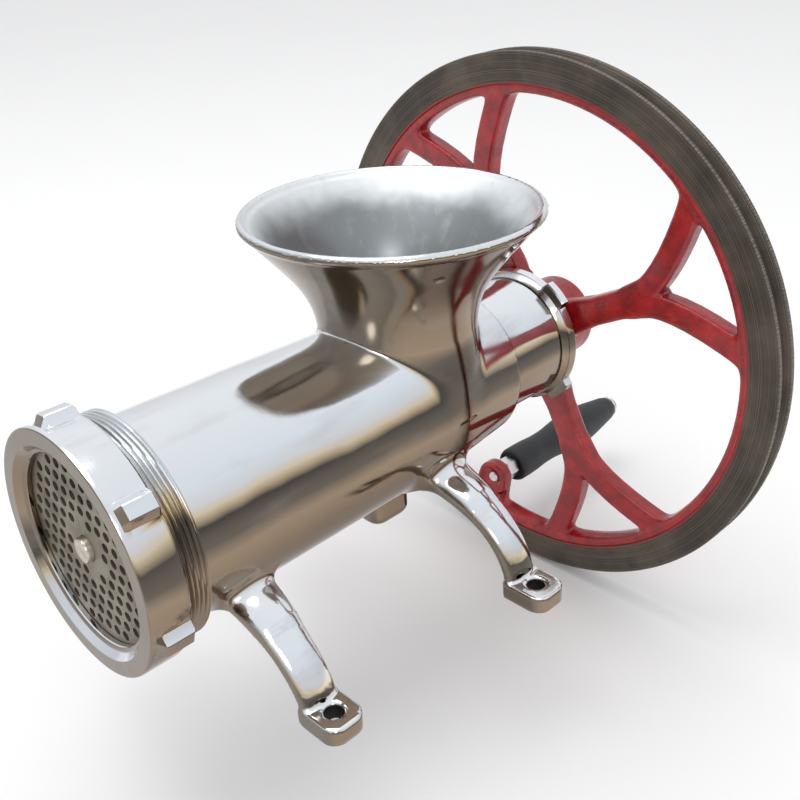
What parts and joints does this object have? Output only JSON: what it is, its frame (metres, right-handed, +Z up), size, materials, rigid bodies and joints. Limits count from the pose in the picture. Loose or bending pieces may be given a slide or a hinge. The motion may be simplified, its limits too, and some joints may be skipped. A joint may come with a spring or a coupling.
{
  "type": "manual meat grinder",
  "caption": "Hand-cranked meat grinder with a trumpet hopper, perforated outlet plate, splayed bolt-down legs and a red forked-spoke flywheel with a turning grip.",
  "frame": {"origin": "on the bench plane, in the middle of the four foot bolts", "axes": "+Y along the auger from the outlet to the flywheel, +X to the side, +Z up"},
  "size_m": [0.3252, 0.4465, 0.3252],
  "materials": {
    "polished_casting": "mirror-polished tinned casting",
    "satin_steel": "ground steel",
    "dark_steel": "dark machined steel",
    "cast_auger": "tinned cast iron",
    "bearing_bronze": "turned bronze",
    "seal_rubber": "black rubber",
    "red_paint": "glossy red paint on rough cast iron, with a bare machined rim",
    "zinc_plate": "bright zinc plate",
    "grip_plastic": "dark grey moulded plastic"
  },
  "bodies": {
    "body": {"grinder_body": "polished_casting", "plate_pin": "dark_steel", "hole_plate": "satin_steel", "thrust_washer": "dark_steel", "front_bushing": "bearing_bronze", "shaft_seal": "seal_rubber", "rear_bushing": "bearing_bronze", "end_nut": "polished_casting"},
    "ring": {"ring_nut": "polished_casting"},
    "crank": {"auger": "cast_auger", "auger_stud": "satin_steel", "knife": "satin_steel", "flywheel": "red_paint", "hub_key": "dark_steel", "hub_set_screw": "dark_steel", "hub_washer": "dark_steel", "hub_bolt": "dark_steel", "handle_spindle": "zinc_plate", "handle_washer": "zinc_plate", "handle_nut": "zinc_plate", "handle_end_washer": "zinc_plate"},
    "grip": {"handle_grip": "grip_plastic"}
  },
  "joints": [
    {"name": "crank_turn", "type": "hinge", "parent": "body", "child": "crank", "pos_m": [0, 0, 0.082], "axis": [0, 1, 0], "continuous": true},
    {"name": "grip_spin", "type": "hinge", "parent": "crank", "child": "grip", "pos_m": [-0.03061, 0.26, -0.03723], "axis": [0, 1, 0], "continuous": true},
    {"name": "ring_nut_turn", "type": "hinge", "parent": "body", "child": "ring", "pos_m": [0, -0.115, 0.082], "axis": [0, -1, 0], "range_deg": [0, 720]}
  ]
}
